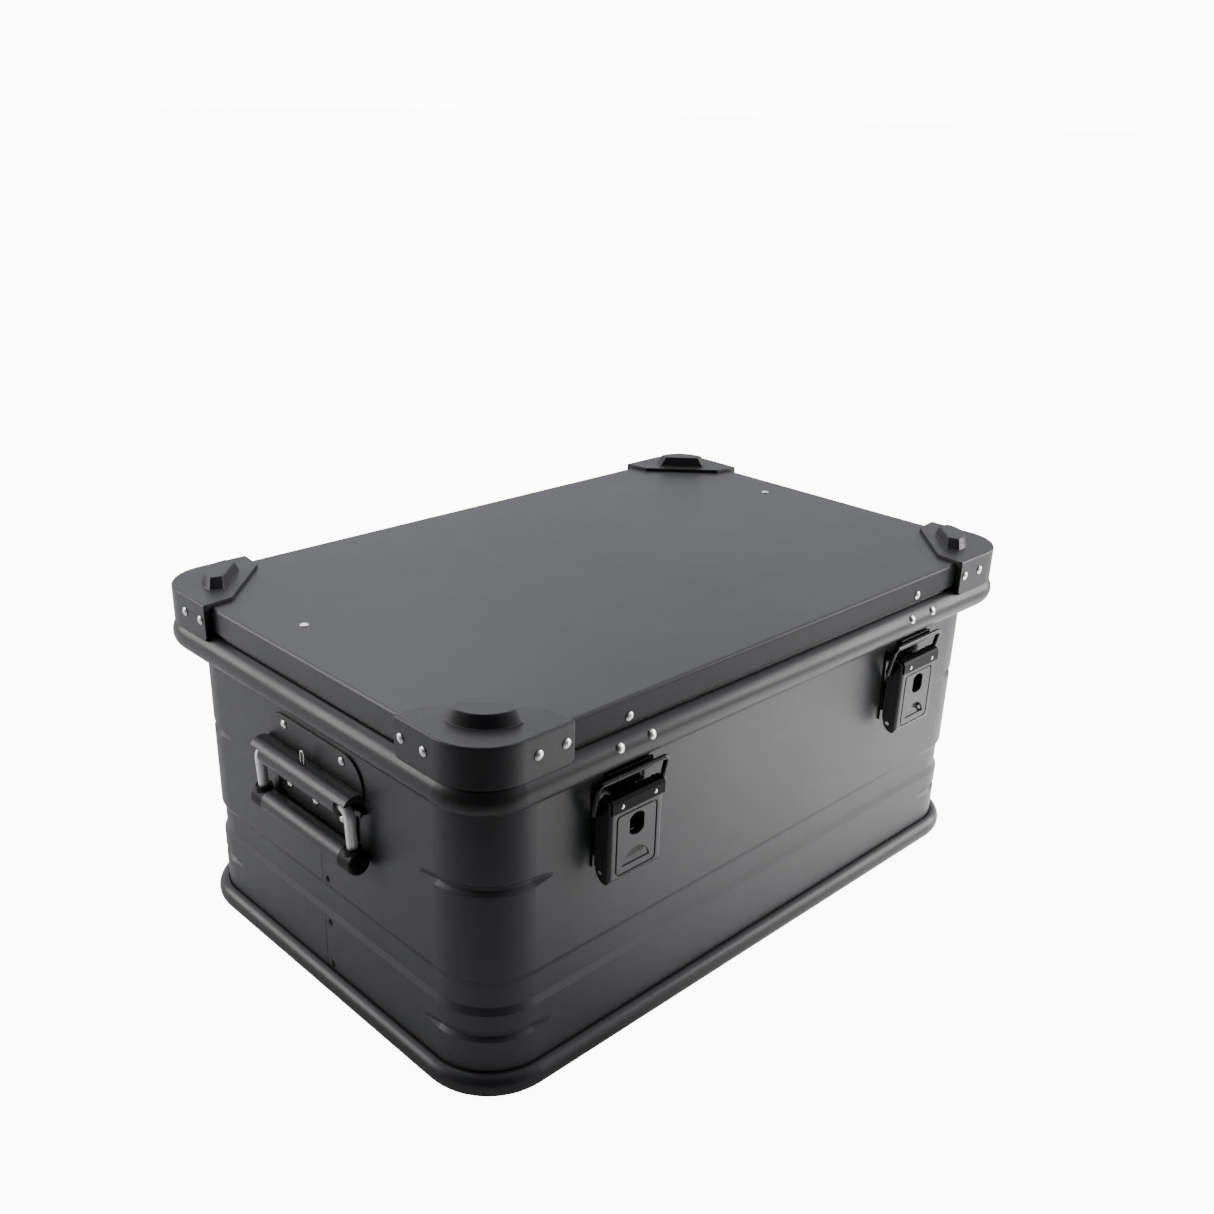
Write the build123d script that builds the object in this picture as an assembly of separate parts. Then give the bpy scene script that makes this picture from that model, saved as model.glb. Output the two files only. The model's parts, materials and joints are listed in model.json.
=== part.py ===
from build123d import *
import os
from math import atan2, cos, degrees, hypot, radians, sin, sqrt

# Aluminium footlocker: wrapped sheet body, flared lid frame, four die-cast stacking
# corners, two draw latches, two sprung drop handles, rear hinges and two lid straps.
# Frame: X along the front, front face towards -Y, +Z up, origin at the centre of the
# footprint on the floor plane. Millimetres. The wall line is the outside of the wall
# sheet; names ending in _OUT are distances outside it, names ending in _Z are heights.

# ---------------------------------------------------------------- driving dimensions
BODY_X, BODY_Y = 552.0, 352.0      # outside of the wrapped wall sheet
HX, HY = BODY_X / 2, BODY_Y / 2    # wall line on the ends and on the front and rear
BODY_R = 45.0                      # vertical corner radius of the wall sheet
LID_R = 24.0                       # corner radius of the lid ring at the wall line
WALL_T = 1.0                       # wall sheet thickness
WALL_Z0, WALL_TOP = 4.0, 238.0
RIM_H, RIM_OUT = 17.0, 8.5         # base rim
BAND_Z0, BAND_Z1, BAND_DEPTH = 62.0, 90.0, 2.3     # pressed band right round the body
CORNER_GROOVE_Z = (45.0, 157.0)    # short pressed grooves at the corners
CORNER_GROOVE_H, CORNER_GROOVE_DEPTH = 8.0, 2.8
PANEL_T = 1.2                      # bottom panel thickness

LID_TOP = 265.5                    # upper face of the lid sheet
LID_OUT, LID_T = 7.5, 1.2          # lid flange and sheet thickness
FLANGE_Z = 247.0                   # lower edge of the lid flange
FRAME_LOW = 220.5                  # lower lip of the flared lid frame
FRAME_OUT = 15.8                   # widest point of the flared lid frame
FRAME_IN = 3.8                     # inner face of the lid frame, outside the wall line

CAP_OUT, CAP_LEG = 13.5, 76.0      # stacking corner and the length of its legs
CAP_Z0, CAP_T, BOSS_TOP = 240.5, 3.0, 277.0
RIVET_D, RIVET_H, SHANK_D = 6.6, 1.5, 3.2

FITTING_X = 161.0                  # latch and hinge centre lines
FRAME_RIVET_OUT, FRAME_RIVET_Z = 14.4, 237.0       # rivets through the flare
FRAME_RIVET_X = 14.2               # half spacing of a pair of them

LEVER_W, LEVER_SHEET = 48.0, 1.5
LEVER_Z0, LEVER_Z1 = 141.0, 202.5
LEVER_OUT = 18.0                   # lever face
PIVOT_OUT, PIVOT_Z = 12.0, 198.0   # lever pivot pin
EAR_R = 4.1                        # rounding of the ears about the pivot
HOOK_OUT, HOOK_Z = 8.5, 192.0      # where the wire bail hooks into the lever
BAR_OUT, BAR_Z = 13.6, 215.6       # top bar of the wire bail
BAIL_R, BAIL_HALF = 1.9, 31.0
KEEPER_W = 40.0
PLATE_T = 1.5                      # latch and handle plates

HANDLE_Y = 0.0                     # centre of each side handle
HANDLE_OUT, HANDLE_Z = 11.0, 177.0 # handle axis
BEAD_OUT = 17.4                    # rolled bead of a handle plate
HANDLE_LEG = 55.5                  # half spacing of the bail legs
ROD_R = 3.75
GRIP_OUT, GRIP_Z, GRIP_R = 9.0, 137.5, 8.5

HINGE_OUT, HINGE_Z = 10.0, 214.0   # lid hinge axis, outside the rear wall
HINGE_Y = HY + HINGE_OUT
KNUCKLE_R, HINGE_PIN_R = 4.0, 2.0
LEAF_HALF, LEAF_T = 24.0, 1.6      # half width of both leaves, thickness of the body leaf

STRAP_W, STRAP_T = 16.0, 1.3
STAY_X, STAY_Y = 251.0, 44.0       # stay rivet on the lid
BRACKET_X, BRACKET_T = 266.4, 1.8  # outer face and thickness of a stay bracket
BRACKET_LEN, BRACKET_W, BRACKET_DROP = 24.4, 20.0, 20.3
BODY_ANCHOR = (5.0, 232.0)         # (y, z) of the strap rivet on the body
LID_ANCHOR = (44.0, 250.0)         # (y, z) of the strap rivet under the lid
STRAP_PIN_R, STRAP_HEAD_R = 2.0, 3.4
LOWER_STRAP_X, UPPER_STRAP_X = 268.35, 266.7       # inner faces of the two strips
LID_OPEN = 95.0                    # opening angle the straps allow

FRONT, REAR, LEFT, UP = (0, -1, 0), (0, 1, 0), (-1, 0, 0), (0, 0, 1)
SIDES = (("left", -1), ("right", 1))

parts = {}
wall_holes = []                    # cut from the wall sheet, in this order
lid_holes = []                     # cut from the lid panel and the lid frame


# ---------------------------------------------------------------- helpers
def front(out):
    """Y of a point standing out from the front wall."""
    return -(HY + out)


def left(out):
    """X of a point standing out from the left wall."""
    return -(HX + out)


def mirror_x(shape):
    return shape.mirror(Plane.YZ)


def mirror_y(shape):
    return shape.mirror(Plane.XZ)


def flipped(shape, flip_x, flip_y):
    if flip_y:
        shape = mirror_y(shape)
    return mirror_x(shape) if flip_x else shape


def cut_all(shape, tools):
    for tool in tools:
        shape = shape - tool
    return shape


def group(shapes):
    return Compound(children=list(shapes))


def polygon(points):
    return make_face(Polyline(points, close=True))


def rounded_prism(wall_radius, out, z0, z1):
    """Rounded block standing out from the wall line, concentric with its corners."""
    outline = RectangleRounded(BODY_X + 2 * out, BODY_Y + 2 * out, wall_radius + out)
    return Pos(0, 0, z0) * extrude(outline, z1 - z0)


def corner_turn(section, radius):
    """Turn a section drawn as (outward, up) round the right rear corner.
    Returns the turned corner and the section at its right and rear ends."""
    centre = (HX - radius, HY - radius, 0)
    section = Pos(radius, 0) * section
    right_face = Plane(origin=centre, x_dir=(1, 0, 0), z_dir=(0, -1, 0)) * section
    corner = revolve(right_face, axis=Axis(centre, (0, 0, 1)), revolution_arc=90)
    rear_face = Plane(origin=centre, x_dir=(0, 1, 0), z_dir=(1, 0, 0)) * section
    return corner, right_face, rear_face


def ring(section, radius):
    """Closed ring: a section drawn as (outward, up) run round the wall line."""
    corner, right_face, rear_face = corner_turn(section, radius)
    end_run = extrude(right_face, amount=2 * (HY - radius), dir=(0, -1, 0))
    rear_run = extrude(rear_face, amount=2 * (HX - radius), dir=(-1, 0, 0))
    right_half = corner + end_run + mirror_y(corner)
    left_half = mirror_x(right_half)
    return right_half + left_half + rear_run + mirror_y(rear_run)


def along_x(face, x0, x1):
    """Extrude a face drawn in (y, z)."""
    plane = Plane(origin=(x0, 0, 0), x_dir=(0, 1, 0), z_dir=(1, 0, 0))
    return extrude(plane * face, amount=x1 - x0, dir=(1, 0, 0))


def along_y(face, y0, y1):
    """Extrude a face drawn in (x, z)."""
    plane = Plane(origin=(0, y0, 0), x_dir=(1, 0, 0), z_dir=(0, -1, 0))
    return extrude(plane * face, amount=y1 - y0, dir=(0, 1, 0))


def wall_prism(side, points, x0, x1):
    """Prism along X from (outward, z) points on the front (-1) or rear (1) wall."""
    return along_x(polygon([(side * (HY + out), z) for out, z in points]), x0, x1)


def cylinder(start, end, radius):
    start, end = Vector(start), Vector(end)
    run = end - start
    return extrude(Plane(origin=start, z_dir=run) * Circle(radius), amount=run.length, dir=run)


def x_cylinder(x0, x1, y, z, radius):
    return cylinder((x0, y, z), (x1, y, z), radius)


def x_bore(x, y, z, radius):
    """Cutter that passes along X through a whole latch or hinge centred on x."""
    return x_cylinder(x - 40, x + 40, y, z, radius)


def rivet(position, outward, grip, head_d=RIVET_D, head_h=RIVET_H, shank_d=SHANK_D,
          tail_d=5.2, tail_h=1.2):
    """Domed rivet on an outer surface; grip is the thickness it clamps."""
    head_r = head_d / 2
    dome_h = head_h - head_h * 0.3
    sphere_r = (head_r ** 2 + dome_h ** 2) / (2 * dome_h) + 0.02
    head = (Pos(0, 0, head_h - sphere_r) * Sphere(sphere_r)) \
        & (Pos(0, 0, head_h) * Cylinder(head_r, 2 * head_h))
    body = head + Pos(0, 0, -grip) * extrude(Circle(shank_d / 2), grip + 0.1)
    if tail_h > 0:
        body = body + Pos(0, 0, -grip - tail_h) * extrude(Circle(tail_d / 2), tail_h)
    return Plane(origin=position, z_dir=outward).location * body


def hole(position, outward, depth, diameter=SHANK_D):
    """Cutter that starts 1 mm outside the surface."""
    drill = Pos(0, 0, -depth) * extrude(Circle(diameter / 2), depth + 1.0)
    return Plane(origin=position, z_dir=outward).location * drill


# ---------------------------------------------------------------- body
def band_section(skin):
    """Pressed band cut into the surface that lies at skin from the wall line."""
    floor = skin - BAND_DEPTH
    return polygon([(2, BAND_Z1 + 2.4), (skin, BAND_Z1), (floor, BAND_Z1 - 5),
                    (floor, BAND_Z0 + 5), (skin, BAND_Z0), (2, BAND_Z0 - 2.4)])


def corner_groove(middle_z, skin):
    """Groove round the right rear corner that runs out gently on both adjoining faces."""
    half = CORNER_GROOVE_H / 2
    floor = skin - CORNER_GROOVE_DEPTH
    section = polygon([(3, middle_z + half + 2.5), (skin, middle_z + half),
                       (floor, middle_z + half * 0.35), (floor, middle_z - half * 0.35),
                       (skin, middle_z - half), (3, middle_z - half - 2.5)])
    corner, right_face, rear_face = corner_turn(section, BODY_R)
    right_end = extrude(right_face, amount=16, dir=Vector(0.2, -1, 0).normalized())
    rear_end = extrude(rear_face, amount=16, dir=Vector(-1, 0.2, 0).normalized())
    return corner + right_end + rear_end


def wall_sheet():
    outer = rounded_prism(BODY_R, 0, WALL_Z0, WALL_TOP) - ring(band_section(0.0), BODY_R)
    inner = rounded_prism(BODY_R, -WALL_T, WALL_Z0 - 1, WALL_TOP + 1) \
        - ring(band_section(-WALL_T), BODY_R)
    for middle_z in CORNER_GROOVE_Z:
        outer_groove = corner_groove(middle_z, 0.0)
        inner_groove = corner_groove(middle_z, -WALL_T)
        for flip_y in (False, True):
            for flip_x in (False, True):
                outer = outer - flipped(outer_groove, flip_x, flip_y)
                inner = inner - flipped(inner_groove, flip_x, flip_y)
    wall = cut_all(outer - inner, wall_holes)
    # butt line of the wrapped sheet
    return wall - Pos(-HX, 0.0, 121) * Box(0.5, 0.5, 260)


def base_rim():
    bulge = Line((0.7, RIM_H), (2.2, RIM_H)) \
        + ThreePointArc((2.2, RIM_H), (RIM_OUT, 8.3), (3.4, 0.0))
    rest = Polyline([(3.4, 0.0), (-15, 0.0), (-15, 4.0), (0.0, 4.0), (0.0, 12.0),
                     (0.7, 12.6), (0.7, RIM_H)])
    return ring(make_face(bulge + rest), BODY_R)


def bottom_panel():
    floor = WALL_Z0 + PANEL_T
    tray = rounded_prism(BODY_R, -WALL_T, WALL_Z0, 16.0) \
        - rounded_prism(BODY_R, -WALL_T - PANEL_T, floor, 17.0)
    ribs = [Pos(x, 0, floor) * extrude(RectangleRounded(14, 250, 6.9), 1.6)
            for x in (-180, -60, 60, 180)]
    return tray + ribs


def body_rim():
    """Rim folded over the top edge of the wall, with the strap pin holes."""
    rim = ring(polygon([(-4, 226), (-1, 226), (-1, 238), (0, 238), (0, 229), (1.5, 229),
                        (1.5, 240.2), (0.7, 241), (-3.2, 241), (-4, 240.2)]), BODY_R)
    return cut_all(rim, [x_cylinder(side * 271, side * 275.0, *BODY_ANCHOR, STRAP_PIN_R)
                         for side in (1, -1)])


parts["base_rim"] = base_rim()
parts["bottom_panel"] = bottom_panel()
parts["body_rim"] = body_rim()


# ---------------------------------------------------------------- lid
def lid_panel():
    panel = rounded_prism(LID_R, LID_OUT, FLANGE_Z, LID_TOP)
    panel = fillet(panel.faces().sort_by(Axis.Z)[-1].edges(), 2.6)
    return panel - rounded_prism(LID_R, LID_OUT - LID_T, FLANGE_Z - 1, LID_TOP - LID_T)


def lid_frame():
    """Flared ring with an upstand inside the lid flange and a web over the seal."""
    flare_out = ThreePointArc((7.6, 243.4), (FRAME_OUT, 231.6), (9.4, FRAME_LOW))
    flare_in = ThreePointArc((8.0, 222.3), (FRAME_OUT - 2.0, 231.8), (6.8, 241.3))
    lip = Line((9.4, FRAME_LOW), (8.0, 222.3))
    upstand = Polyline([(6.8, 241.3), (FRAME_IN, 242.0), (FRAME_IN, 245.0),
                        (FRAME_IN, 262.0), (6.3, 262.0), (6.3, 246.4), (5.0, 246.0),
                        (5.0, 243.8), (7.6, 243.4)])
    frame = ring(make_face(flare_out + lip + flare_in + upstand), LID_R)
    web = rounded_prism(LID_R, FRAME_IN, 246.0, 247.6) \
        - rounded_prism(BODY_R, -4.0, 245.0, 249.0)
    return frame + web


parts["lid_seal"] = ring(polygon([(-3.2, 246.0), (-3.4, 243.0), (-2.0, 241.3), (0.2, 241.3),
                                  (1.2, 243.0), (1.2, 246.0)]), BODY_R)
plain_frame = lid_frame()          # before any holes; other parts are fitted against it

# ---------------------------------------------------------------- stacking corners
CAP_X, CAP_Y = -(HX + CAP_OUT), -(HY + CAP_OUT)    # outer corner of the front left cap
CAP_GRIP = CAP_OUT - FRAME_IN
CAP_RIVET_Z, CAP_RIVET_STEPS = 255.5, (47.5, 69.5) # steps along each leg from the corner
LEG_ROUND = 4.0                    # rounding of the lower edge at each leg end


def boss_face(arc_end, arc_middle, far_end, z):
    """Boss outline, symmetric about the diagonal; points are measured from the corner."""
    start, finish = arc_end, arc_end[::-1]
    arc = ThreePointArc(start, (arc_middle, arc_middle), finish)
    rest = Polyline([finish, far_end[::-1], far_end, start])
    return Pos(CAP_X, CAP_Y, z) * make_face(arc + rest)


def leg_rounding(size, turn, keep, position):
    """Cutter that rounds one lower edge: the part of a block outside a cylinder."""
    block = Box(*size) - turn * Cylinder(LEG_ROUND, 30)
    block = block & Pos(*keep) * Box(*size)
    return Pos(*position) * block


def stacking_corner():
    """Front left corner."""
    cap = rounded_prism(LID_R, CAP_OUT, CAP_Z0, LID_TOP + CAP_T)
    cap = fillet(cap.faces().sort_by(Axis.Z)[-1].edges(), 1.6)
    plan = [(-5, -5), (CAP_LEG, -5), (CAP_LEG, 2), (CAP_LEG - 2.5, 24),
            (24, CAP_LEG - 2.5), (2, CAP_LEG), (-5, CAP_LEG)]
    cap = cap & Pos(CAP_X, CAP_Y, CAP_Z0 - 5) * extrude(polygon(plan), 60)
    cap = cap - rounded_prism(LID_R, LID_OUT, 200, LID_TOP)
    size, z = 2 * LEG_ROUND, CAP_Z0 + LEG_ROUND
    cap = cap - leg_rounding((size, 20, size), Rot(90, 0, 0), (LEG_ROUND, 0, -LEG_ROUND),
                             (CAP_X + CAP_LEG - LEG_ROUND, CAP_Y + 4, z))
    cap = cap - leg_rounding((20, size, size), Rot(0, 90, 0), (0, LEG_ROUND, -LEG_ROUND),
                             (CAP_X + 4, CAP_Y + CAP_LEG - LEG_ROUND, z))
    boss = loft([boss_face((18, 52), 26.8, (27, 56.5), LID_TOP + CAP_T - 0.4),
                 boss_face((21.3, 49), 28.9, (29.6, 51.6), BOSS_TOP)])
    # guards the rounding of the boss top, left sharp if the fillet fails
    try:
        boss = fillet(boss.faces().sort_by(Axis.Z)[-1].edges(), 0.9)
    except Exception:
        pass
    return (cap + boss - plain_frame).solids().sort_by(SortBy.VOLUME)[-1]


front_left_cap = stacking_corner()
corner_rivets = []
for end_name, side_x in SIDES:
    for face_name, side_y in (("front", -1), ("rear", 1)):
        holes = []
        for step in CAP_RIVET_STEPS:
            cap_x, cap_y = HX + CAP_OUT, HY + CAP_OUT
            for place, outward in (
                    ((side_x * (cap_x - step), side_y * cap_y, CAP_RIVET_Z), (0, side_y, 0)),
                    ((side_x * cap_x, side_y * (cap_y - step), CAP_RIVET_Z), (side_x, 0, 0))):
                corner_rivets.append(rivet(place, outward, CAP_GRIP))
                holes.append(hole(place, outward, CAP_GRIP + 1))
        cap = flipped(front_left_cap, side_x > 0, side_y > 0)
        parts[f"corner_{face_name}_{end_name}"] = cut_all(cap, holes)
        lid_holes += holes
parts["corner_rivets"] = group(corner_rivets)

# ---------------------------------------------------------------- keepers and hinges
# J plate as (outward, z): pressed against the inside of the flare, jogged in, down,
# and curled out to a lip
KEEPER_OUTLINE = [
    (11.9, 239.5), (9.6, 239.5), (9.2, 232.0), (6.2, 226.5), (6.2, 211.0), (7.6, 209.6),
    (9.6, 209.6), (11.2, 211.0), (11.2, 218.8), (9.4, 218.8), (9.4, 212.2), (8.0, 211.6),
    (8.0, 225.6), (11.2, 231.4)]
# hinge leaves as (outward, z)
LID_LEAF_OUTLINE = [
    (11.9, 239.5), (9.6, 239.5), (9.2, 232.0), (6.4, 226.5), (6.4, 219.2), (8.4, 219.2),
    (8.4, 225.6), (11.2, 231.4)]
BODY_LEAF_OUTLINE = [
    (0, 178), (LEAF_T, 178), (LEAF_T, 206.5), (8.0, 210.2), (6.4, 212.4), (0, 208.2)]
LEAF_RIVETS = ((-16, 186), (16, 186), (-16, 199), (16, 199))   # (x from centre, z)


def frame_rivets(x, side):
    """Pair of rivets through the flare on the front (-1) or rear (1)."""
    return [rivet((x + offset, side * (HY + FRAME_RIVET_OUT), FRAME_RIVET_Z),
                  (0, side, 0.35), 5.4, head_h=1.6, tail_h=0)
            for offset in (-FRAME_RIVET_X, FRAME_RIVET_X)]


def keeper(x, rivets):
    plate = wall_prism(-1, KEEPER_OUTLINE, x - KEEPER_W / 2, x + KEEPER_W / 2)
    return cut_all(plate - plain_frame, rivets)


def lid_leaf(x, rivets):
    """Lid leaf with the middle knuckle."""
    x0, x1 = x - LEAF_HALF, x + LEAF_HALF
    leaf = wall_prism(1, LID_LEAF_OUTLINE, x0, x1) - plain_frame
    tab = wall_prism(1, [(6.4, 221.0), (6.4, HINGE_Z), (8.4, HINGE_Z), (8.4, 221.0)], x0, x1)
    knuckle = x_cylinder(x - 8, x + 8, HINGE_Y, HINGE_Z, KNUCKLE_R)
    gaps = [Pos(x + side * 16.25, HINGE_Y, HINGE_Z) * Box(16.5, 16, 16) for side in (-1, 1)]
    leaf = leaf + cut_all(tab + knuckle, gaps)
    leaf = leaf - x_bore(x, HINGE_Y, HINGE_Z, HINGE_PIN_R + 0.05)
    return cut_all(leaf, rivets)


def body_leaf(x, holes):
    """Body leaf with the two outer knuckles."""
    x0, x1 = x - LEAF_HALF, x + LEAF_HALF
    leaf = wall_prism(1, BODY_LEAF_OUTLINE, x0, x1)
    knuckles = x_cylinder(x0, x - 8.2, HINGE_Y, HINGE_Z, KNUCKLE_R) \
        + x_cylinder(x + 8.2, x1, HINGE_Y, HINGE_Z, KNUCKLE_R)
    leaf = leaf - Pos(x, HINGE_Y, HINGE_Z) * Box(16.4, 11.4, 11.4) + knuckles
    leaf = leaf - x_bore(x, HINGE_Y, HINGE_Z, HINGE_PIN_R)
    return cut_all(leaf, holes)


front_rivets, rear_rivets, hinge_rivets, flange_rivets = [], [], [], []
for tag, side in SIDES:
    centre_x = side * FITTING_X
    pair = frame_rivets(centre_x, -1)
    parts["keeper_" + tag] = keeper(centre_x, pair)
    front_rivets += pair

    pair = frame_rivets(centre_x, 1)
    parts["hinge_lid_leaf_" + tag] = lid_leaf(centre_x, pair)
    rear_rivets += pair

    places = [(centre_x + offset, HY + LEAF_T, z) for offset, z in LEAF_RIVETS]
    hinge_rivets += [rivet(place, REAR, LEAF_T + WALL_T, head_h=1.4) for place in places]
    holes = [hole(place, REAR, 4) for place in places]
    wall_holes += holes
    parts["hinge_body_leaf_" + tag] = body_leaf(centre_x, holes)
    parts["hinge_pin_" + tag] = x_cylinder(centre_x - 24.8, centre_x + 24.8,
                                           HINGE_Y, HINGE_Z, HINGE_PIN_R)

    for side_y in (-1, 1):
        place = (centre_x, side_y * (HY + LID_OUT), 251.6)
        flange_rivets.append(rivet(place, (0, side_y, 0), LID_OUT - FRAME_IN))
        lid_holes.append(hole(place, (0, side_y, 0), 5))

keeper_rivets = front_rivets + rear_rivets
parts["keeper_rivets"] = group(keeper_rivets)
parts["hinge_rivets"] = group(hinge_rivets)
parts["flange_rivets"] = group(flange_rivets)


# ---------------------------------------------------------------- stay brackets
def stay_bracket(side):
    y, z = LID_ANCHOR
    lid_under = LID_TOP - LID_T
    bracket = Pos(side * (BRACKET_X - BRACKET_LEN / 2), y, lid_under - BRACKET_T / 2) \
        * Box(BRACKET_LEN, BRACKET_W, BRACKET_T) \
        + Pos(side * (BRACKET_X - BRACKET_T / 2), y, lid_under - BRACKET_DROP / 2) \
        * Box(BRACKET_T, BRACKET_W, BRACKET_DROP)
    pin_hole = x_cylinder(side * (BRACKET_X - 4), side * (BRACKET_X + 4), y, z, STRAP_PIN_R)
    return bracket - hole((side * STAY_X, STAY_Y, LID_TOP), UP, 6) - pin_hole


stay_rivets = []
for side in (-1, 1):
    place = (side * STAY_X, STAY_Y, LID_TOP)
    stay_rivets.append(rivet(place, UP, LID_T + BRACKET_T, tail_h=1.0))
    lid_holes.append(hole(place, UP, 3))
parts["stay_brackets"] = group([stay_bracket(side) for side in (-1, 1)])
parts["stay_rivets"] = group(stay_rivets)

parts["lid_panel"] = cut_all(lid_panel(), lid_holes)
parts["lid_frame"] = cut_all(plain_frame, keeper_rivets + lid_holes)


# ---------------------------------------------------------------- straps
def strap_fold():
    """(y, z) where the slack strap folds when the lid is shut."""
    (body_y, body_z), (lid_y, lid_z) = BODY_ANCHOR, LID_ANCHOR
    angle = radians(LID_OPEN)
    arm_y, arm_z = lid_y - HINGE_Y, lid_z - HINGE_Z
    open_y = HINGE_Y + arm_y * cos(angle) + arm_z * sin(angle)
    open_z = HINGE_Z - arm_y * sin(angle) + arm_z * cos(angle)
    half_strap = hypot(open_y - body_y, open_z - body_z) / 2
    dy, dz = lid_y - body_y, lid_z - body_z
    chord = hypot(dy, dz)
    height = sqrt(half_strap ** 2 - (chord / 2) ** 2)
    return (body_y + lid_y) / 2 + dz / chord * height, (body_z + lid_z) / 2 - dy / chord * height


def strap(anchor, fold, x0):
    """Webbing strip with rounded ends, flat side towards the end wall."""
    dy, dz = fold[0] - anchor[0], fold[1] - anchor[1]
    middle = Pos((anchor[0] + fold[0]) / 2, (anchor[1] + fold[1]) / 2)
    turn = Rot(0, 0, degrees(atan2(dz, dy)))
    strip = along_x(middle * (turn * SlotCenterToCenter(hypot(dy, dz), STRAP_W)),
                    x0, x0 + STRAP_T)
    return strip - x_cylinder(260, 280, *anchor, STRAP_PIN_R + 0.1)


fold = strap_fold()
for name, anchor, x0 in (("lower", BODY_ANCHOR, LOWER_STRAP_X),
                         ("upper", LID_ANCHOR, UPPER_STRAP_X)):
    right_strap = strap(anchor, fold, x0)
    parts[f"strap_{name}_right"] = right_strap
    parts[f"strap_{name}_left"] = mirror_x(right_strap)

# right-hand pins as shank x0, x1 and head x0, x1
bracket_inner = BRACKET_X - BRACKET_T
for name, anchor, shank, head in (
        ("lid", LID_ANCHOR, (bracket_inner - 1.0, UPPER_STRAP_X + STRAP_T + 0.05),
         (bracket_inner - 1.6, bracket_inner)),
        ("body", BODY_ANCHOR, (267.2, 275.0), (266.9, 268.2))):
    pin = x_cylinder(*shank, *anchor, STRAP_PIN_R) + x_cylinder(*head, *anchor, STRAP_HEAD_R)
    parts["strap_pins_" + name] = group([pin, mirror_x(pin)])

# ---------------------------------------------------------------- latches
LATCH_RIVETS = ((-13, 165), (13, 165), (-13, 195), (13, 195))  # (x from centre, z)
LEVER_OUTLINE = [                  # (outward, z)
    (LEVER_OUT, LEVER_Z0 + 4), (LEVER_OUT, LEVER_Z1 - 1.2), (LEVER_OUT - 1.2, LEVER_Z1),
    (PIVOT_OUT, PIVOT_Z + 5.6), (PIVOT_OUT - 4.2, PIVOT_Z + 4.0), (PIVOT_OUT - 5.6, PIVOT_Z),
    (4.5, 190), (4.2, LEVER_Z0 + 12), (6.5, LEVER_Z0 + 4.5), (10.5, LEVER_Z0 + 0.8),
    (14.0, LEVER_Z0), (LEVER_OUT - 2.0, LEVER_Z0 + 0.6)]
EAR_OUTLINE = [                    # (outward, z)
    (PLATE_T, 156), (8.0, 160), (PIVOT_OUT + EAR_R, 190), (PIVOT_OUT + EAR_R, PIVOT_Z),
    (PIVOT_OUT, PIVOT_Z + 0.1), (PIVOT_OUT - EAR_R, PIVOT_Z), (7.2, 194), (PLATE_T, 176)]
STRIP_OUT = LEVER_OUT + 1.3        # outer face of the strip over the lever head
STRIP_OUTLINE = [                  # (outward, z)
    (LEVER_OUT, 193.8), (STRIP_OUT, 193.8), (STRIP_OUT, 201.4), (LEVER_OUT - 0.2, 203.6),
    (PIVOT_OUT + 0.6, PIVOT_Z + 7.3), (PIVOT_OUT + 0.6, 204.1), (LEVER_OUT - 1.2, LEVER_Z1),
    (LEVER_OUT, LEVER_Z1 - 1.2)]
LEVER_INNER = LEVER_OUT - LEVER_SHEET


def latch_base(x, holes):
    """Wall plate with two ears that carry the pivot pin between the lever cheeks."""
    base = Pos(x, front(PLATE_T / 2), 178.0) * Box(46, PLATE_T, 60)
    for side in (-1, 1):
        x0 = x + side * 20.7 - PLATE_T / 2
        x1 = x0 + PLATE_T
        base = base + (wall_prism(-1, EAR_OUTLINE, x0, x1)
                       + x_cylinder(x0, x1, front(PIVOT_OUT), PIVOT_Z, EAR_R))
    base = base - x_bore(x, front(PIVOT_OUT), PIVOT_Z, 2.0)
    return cut_all(base, holes)


def latch_pin(x):
    y, end = front(PIVOT_OUT), LEVER_W / 2 + 1.4
    pin = x_cylinder(x - end, x + end, y, PIVOT_Z, 2.0)
    for side in (-1, 1):
        inner = x + side * (LEVER_W / 2 + 0.15)
        pin = pin + x_cylinder(inner, x + side * end, y, PIVOT_Z, 3.0)
    return pin


def latch_lever(x):
    """Folded channel, open towards the wall."""
    lever = wall_prism(-1, LEVER_OUTLINE, x - LEVER_W / 2, x + LEVER_W / 2)
    # guards the rounding of the upright front edges, left sharp if the fillet fails
    try:
        lever = fillet(lever.edges().filter_by(Axis.Z).group_by(Axis.Y)[0], 2.6)
    except Exception:
        pass
    lever = lever - Pos(x, front(LEVER_INNER / 2 - 3), 170) \
        * Box(LEVER_W - 2 * LEVER_SHEET, LEVER_INNER + 6, 90)
    # double-D lock hole, slot and pressed border: outline, its z, start and end distance
    lock = Circle(8.3) & Rectangle(13.4, 18)
    slot = Circle(13) & (Pos(0, 8.2) * Rectangle(30, 12))
    border = RectangleRounded(37.5, 45.5, 4) - RectangleRounded(34.7, 42.7, 2.6)
    for outline, z, start, end in ((lock, 179.5, LEVER_OUT + 3, LEVER_OUT - 9),
                                   (slot, 149.0, LEVER_OUT + 3, LEVER_OUT - 1.8),
                                   (border, 168.2, LEVER_OUT + 1, LEVER_OUT - 0.9)):
        lever = lever - along_y(Pos(x, z) * outline, front(start), front(end))
    tongue = [(LEVER_INNER, 164.0), (LEVER_INNER, 161.8), (11.6, 151.0), (10.6, 152.0)]
    lever = lever + wall_prism(-1, tongue, x - 13, x + 13)
    # pivot, bail hook and a lower cross hole: distance out, z, radius
    for out, z, radius in ((PIVOT_OUT, PIVOT_Z, 2.05), (HOOK_OUT, HOOK_Z, BAIL_R + 0.05),
                           (9.5, 147.5, 1.8)):
        lever = lever - x_bore(x, front(out), z, radius)
    return lever


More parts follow.
